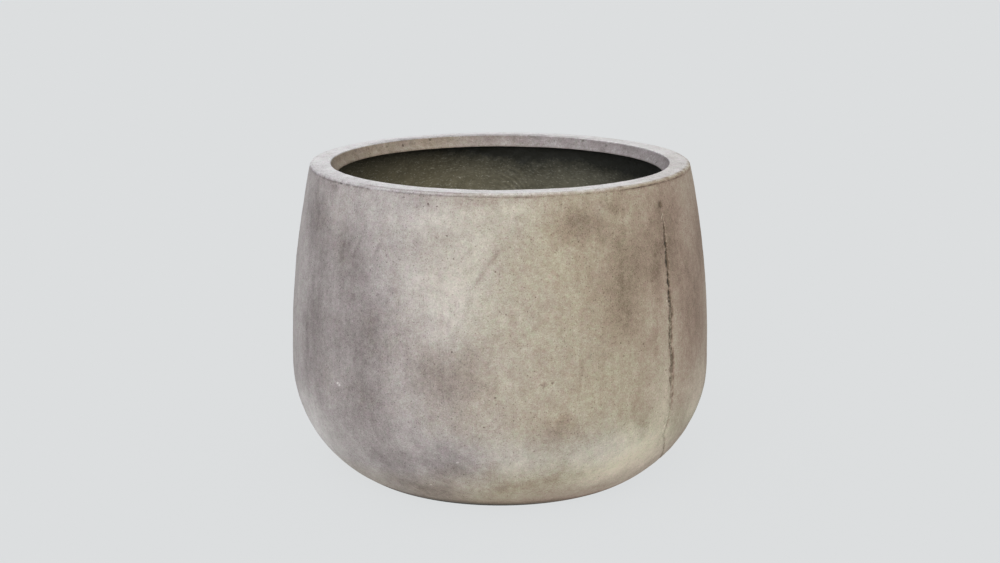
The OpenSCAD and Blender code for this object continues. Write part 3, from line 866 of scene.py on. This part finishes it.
def backing_relief(points):
    """Uneven laid-up surface: lumps about 60 mm across, with the roller's dimples on them."""
    return 0.35 * ripple(points, 60, 61) + 0.22 * ripple(points, 18, 62) + 0.08 * ripple(points, 6, 63)


def backing_band(name, node, start, end, outer, inner, columns, material, slot, frayed=0.0):
    """Closed band of backing between the directions start and end, arrays with one value for each
    row of the coarse run up the wall's side and then of the fine run down the inside. frayed is
    how far its side edges wander, in mm."""
    loop = np.vstack([inner, outer])
    ragged = [frayed * ripple(loop, 9, seed) / loop[:, 0] for seed in (71, 72)]
    first, last = start + ragged[0], end + ragged[1]
    points = revolve(loop, first[:, None] + (last - first)[:, None] * np.linspace(0, 1, columns))
    front = points[:len(inner)]
    edge = np.minimum(np.arange(columns), np.arange(columns)[::-1]) * (frayed > 0) + 9 * (frayed == 0)
    lift = backing_relief(front) - np.exp(-(edge / 1.2) ** 2) * (1.4 if frayed else 0)
    sheet = laid_up(points, loop)
    points[:len(inner)] = pushed(front, inner, lift)
    return piece(name, points, closed_bar(points, len(inner)), material, slot, node, sheet=sheet)


resin_wall = strand_mat("glass_fibre_in_polyester", ("#77725F", "#3C3B31", "#C8B48C", "#A9A48E"), 0.38, 1.2)
inner = np.vstack([face_run(3.0, inset=liner_in, low=floor_z, top=skin_top)[::-1],
                   along([(corner_r, floor_z), (butt_r, floor_z)], 3.0)[1:]])
outer = np.vstack([[(butt_r, base_z)], face_run(9.0, inset=skin_t, low=base_z, top=skin_top)])
loop = np.vstack([inner, outer])
right, slope = right_joint(loop[:, 0], loop[:, 1])
right_gap = half_gap * np.sqrt(1 + slope**2) / loop[:, 0]
left_gap = half_gap / loop[:, 0]
backing_band("liner_front", "liner_front", left_turn - 2 * np.pi + left_gap, right - right_gap,
             outer, inner, 260, resin_wall, "glass_fibre_resin")
backing_band("liner_back", "liner_back", right + right_gap, left_turn - left_gap,
             outer, inner, 260, resin_wall, "glass_fibre_resin")

base_loop = np.vstack([along([(drain_r, base_z), (butt_r, base_z)], 20.0)[:-1],
                       along([(butt_r, base_z), (butt_r, floor_z)], 2.0)[:-1],
                       along([(butt_r, floor_z), (drain_r, floor_z)], 2.5)[:-1],
                       along([(drain_r, floor_z), (drain_r, base_z)], 2.0)[:-1]])


def floor_relief(points, loop):
    """Unevenness of the backing on the base, which dies out at its edges and round the drain."""
    r = loop[:, :1]
    fade = np.clip((r - drain_r - 9) / 12, 0, 1) * np.clip((butt_r - r) / 6, 0, 1)
    return backing_relief(points) * fade * (loop[:, 1:] > base_z + 0.1)


turned("liner_base", base_loop, 360, floor_relief, resin_wall, "glass_fibre_resin", "liner_base",
       sheet=laid_up)

# ---------------------------------------------------------------------------------------------
# Lip backing. A wide band of mat is pressed into the corner under the lip and down the wall, to
# tie the rim ring to the shell. It is what shows of the inside from the front.

lap_t, lap_z = 3.0, 279.0
lip_inner = face_run(1.5, inset=liner_in + lap_t, low=belly_z, top=skin_top)
lip_inner = lip_inner[lip_inner[:, 1] > lap_z]
lip_loop = np.vstack([
    [(wall_radius(lap_z, liner_in), lap_z)],
    face_run(8.0, inset=liner_in, low=belly_z, top=skin_top)[-10:],
    [(wall_radius(skin_top, skin_t), skin_top)],
    along([(wall_radius(lip_z, skin_t), lip_z), (lip_r + lap_t + 2.5, lip_z)], 3.0),
    [(lip_r + lap_t + 4, lip_z - 1.2)],
    along([(lip_r + lap_t + 8, skin_top + 0.3), lip_inner[-1]], 3.0),
    lip_inner[::-1][1:], [(wall_radius(lap_z, liner_in + lap_t), lap_z)]])


def lip_relief(points, loop):
    """Lumps of the laid-up band, with a fold where it turns out under the lip."""
    free = (np.linalg.norm(points[..., :2], axis=-1) < wall_radius(points[..., 2], liner_in + 1.0)) & (
        points[..., 2] < lip_z - 0.5)
    return backing_relief(points) * free


def lip_shade(points, loop):
    """How dark the resin is painted: painted shade in the corner under the lip, where the lip's shadow
    falls, and darker on the right and lighter on the left. The roller has left a few thin arcs on
    the far wall, 6.5 mm apart about a point below them."""
    # Painted shade under the lip, where the lip's shadow falls on the wall.
    corner = np.clip((loop[:, 1:] - skin_top + 50) / 50, 0, 1) ** 1.2
    side = 0.4 * np.interp(
        turn_of(points) % 360, [0, 60, 100, 128, 142, 150, 158, 168, 176, 192, 205, 220, 260, 310, 360],
        [0.1, 0.35, 0.48, 0.2, -0.1, -0.3, -0.25, -0.1, -0.25, -0.7, -0.95, -1.3, -1.5, -0.4, 0.1])
    rolled_about, rolled_at = (-14, 231, 274), (16, 231, 304)
    away = np.linalg.norm(points - rolled_about, axis=-1)
    near = np.clip(1 - np.linalg.norm(points - rolled_at, axis=-1) / 34, 0, 1)
    arcs = near * np.clip(np.sin(2 * np.pi * away / 6.5 + 0.8 * ripple(points, 20, 64)), -0.3, 1)
    return 0.84 * corner + side - 0.35 * arcs


def lip_brown(points, loop):
    """Where the resin is stained brown: round the left."""
    return np.interp(turn_of(points) % 360, [150, 205, 290, 330], [0.05, 0.5, 0.5, 0.05])


band_mat = strand_mat("glass_fibre_lap", ("#8F8C7A", "#2A2B25", "#C8B48C", "#C9C6B4"), 0.36, 1.1)
turned("lip_backing", lip_loop, 960, lip_relief, band_mat, "glass_fibre_resin", "lip_backing",
       sheet=laid_up, shade=lip_shade, brown=lip_brown)

# ---------------------------------------------------------------------------------------------
# Joint tapes. Strips of mat about 60 mm wide are laid over both joints from inside, and a ring of
# the same mat over the edge of the base, so that water can't get out through them.

mat_t, strip_w, ring_in, ring_out = 2.0, 60.0, 146.0, 168.0
ring_top = floor_z + mat_t
tape_mat = strand_mat("glass_fibre_tape", ("#807B68", "#45443A", "#C8B48C", "#B5B09A"), 0.42, 1.3)
tape_inner = face_run(2.0, inset=liner_in + mat_t, low=ring_top, top=lap_z)[::-1]
tape_inner = tape_inner[tape_inner[:, 0] > ring_out]
tape_outer = face_run(6.0, inset=liner_in, low=floor_z, top=lap_z)
loop = np.vstack([tape_inner, tape_outer])
right, slope = right_joint(loop[:, 0], loop[:, 1])
# The two tapes, as (name, direction of the joint's top, drift from it, half width across) by row.
tapes = [("joint_tape_right", right_turn, np.sin(right - right_turn) * loop[:, 0],
          strip_w / 2 * np.sqrt(1 + slope**2)),
         ("joint_tape_left", left_turn, 0.0, strip_w / 2)]
for name, middle, drift, half in tapes:
    backing_band(name, name, middle + np.arcsin((drift - half) / loop[:, 0]),
                 middle + np.arcsin((drift + half) / loop[:, 0]), tape_outer, tape_inner, 44, tape_mat,
                 "glass_fibre_mat", frayed=0.7)
ring_loop = along([(ring_in, floor_z), (ring_out, floor_z), (ring_out, ring_top), (ring_in, ring_top),
                   (ring_in, floor_z)], 1.6)[:-1]


def ring_relief(points, loop):
    """Unevenness of the ring of mat, thin at both frayed edges."""
    rise = np.clip(np.minimum(loop[:, :1] - ring_in, ring_out - loop[:, :1]) / 3, 0, 1)
    return (0.5 * backing_relief(points) * rise - 1.2 * (1 - rise)) * (loop[:, 1:] > floor_z + 1)


turned("base_tape", ring_loop, 480, ring_relief, tape_mat, "glass_fibre_mat", "base_tape", sheet=laid_up)

# ---------------------------------------------------------------------------------------------
# Drain plug. A moulded rubber bung is pushed into the drain hole from inside and pulled out by
# its knob. Black rubber, dull and a little dusty on top.


def moulded_rubber(name):
    """Black moulded rubber: near-black and dull, with a fine even grain and a grey bloom of dust
    that lies on the faces that look up."""
    made, tree, shader = new_material(name, Metallic=0.0, IOR=1.52, **{"Specular IOR Level": 0.4})
    place = add(tree, "ShaderNodeTexCoord").outputs["Object"]
    normal = add(tree, "ShaderNodeNewGeometry").outputs["Normal"]
    facing = add(tree, "ShaderNodeSeparateXYZ", links={0: normal})
    dust = add(tree, "ShaderNodeMath", {"operation": "MULTIPLY_ADD", 1: 0.35, "use_clamp": True}, {
        0: facing.outputs["Z"], 2: mottle(tree, place, [(9, 1.0, 0.6), (3, 1.0, 0.4)])})
    paint = add(tree, "ShaderNodeMix", {
        "data_type": "RGBA", 6: to_linear("#1C1C1B"), 7: to_linear("#5A5650")}, {0: dust.outputs[0]})
    tree.links.new(paint.outputs[2], shader.inputs["Base Color"])
    dull = add(tree, "ShaderNodeMapRange", {"To Min": 0.48, "To Max": 0.8}, {"Value": dust.outputs[0]})
    tree.links.new(dull.outputs[0], shader.inputs["Roughness"])
    bump = add(tree, "ShaderNodeBump", {"Strength": 0.3, "Distance": 0.0003},
               {"Height": mottle(tree, place, [(0.9, 1.0, 1.0)])})
    tree.links.new(bump.outputs[0], shader.inputs["Normal"])
    return made


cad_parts["drain_plug"].data.materials[0] = moulded_rubber("moulded_black_rubber")

# ---------------------------------------------------------------------------------------------
# Studio: a plain pale floor, even soft light all round, one broad soft key from the upper front
# left and a weak bluish window at the left. The camera is two metres off and looks down.

camera_data = bpy.data.cameras.new("camera")
camera_data.lens, camera_data.sensor_width = 61.39, 36.0
camera = bpy.data.objects.new("camera", camera_data)
camera.location = (0.0, -2.0, 0.697)
camera.rotation_euler = (np.radians(76.654), 0.0, 0.0)
bpy.context.scene.collection.objects.link(camera)
bpy.context.scene.camera = camera

pale = to_linear("#DCDEDF")
world = bpy.data.worlds.new("studio")
world.use_nodes = True
bpy.context.scene.world = world
sky = world.node_tree.nodes["Background"]
sky.inputs["Color"].default_value = pale
seen = add(world.node_tree, "ShaderNodeLightPath").outputs["Is Camera Ray"]
wall_light = add(world.node_tree, "ShaderNodeMath", {"operation": "MULTIPLY_ADD", 1: 0.4, 2: 0.6}, {0: seen})
world.node_tree.links.new(wall_light.outputs[0], sky.inputs["Strength"])

# Lights, as (name, colour, strength, spread, tilt, turn) with the angles in degrees.
lamps = [("key", "#FFFFFF", 1.7, 50, 66, -8), ("overhead", "#FFFFFF", 0.9, 80, 8, 0),
         ("window", "#C6D0FF", 0.35, 60, 74, -82)]
for name, code, energy, spread, tilt, turn in lamps:
    lamp = bpy.data.lights.new(name, "SUN")
    lamp.color, lamp.energy, lamp.angle = to_linear(code)[:3], energy, np.radians(spread)
    lamp_object = bpy.data.objects.new(name, lamp)
    lamp_object.rotation_euler = (np.radians(tilt), 0.0, np.radians(turn))
    bpy.context.scene.collection.objects.link(lamp_object)

floor_mesh = bpy.data.meshes.new("floor")
floor_mesh.from_pydata([(-40, -40, 0), (40, -40, 0), (40, 40, 0), (-40, 40, 0)], [], [(0, 1, 2, 3)])
floor = bpy.data.objects.new("floor", floor_mesh)
bpy.context.scene.collection.objects.link(floor)
floor_paint = bpy.data.materials.new("floor_paint")
floor_paint.use_nodes = True
floor_tree = floor_paint.node_tree
floor_tree.nodes.clear()
glow = add(floor_tree, "ShaderNodeEmission", {"Color": pale, "Strength": 1.03})
matt = add(floor_tree, "ShaderNodeBsdfDiffuse", {"Color": (0.5, 0.5, 0.5, 1.0)})
# The floor's glow stops under the foot, so that it doesn't shine up through the open drain hole.
spot = add(floor_tree, "ShaderNodeMapping", {"Scale": (1 / (foot_inner_r * MM),) * 3}, {
    "Vector": add(floor_tree, "ShaderNodeTexCoord").outputs["Object"]})
under = add(floor_tree, "ShaderNodeTexGradient", {"gradient_type": "SPHERICAL"}, {"Vector": spot.outputs[0]})
share = add(floor_tree, "ShaderNodeMapRange", {"From Max": 0.05, "To Min": 0.08, "To Max": 1.0},
            {"Value": under.outputs["Fac"]})
blend = add(floor_tree, "ShaderNodeMixShader", links={
    0: share.outputs[0], 1: glow.outputs[0], 2: matt.outputs[0]})
add(floor_tree, "ShaderNodeOutputMaterial", links={"Surface": blend.outputs[0]})
floor_mesh.materials.append(floor_paint)

bpy.context.scene.view_settings.view_transform = "Standard"
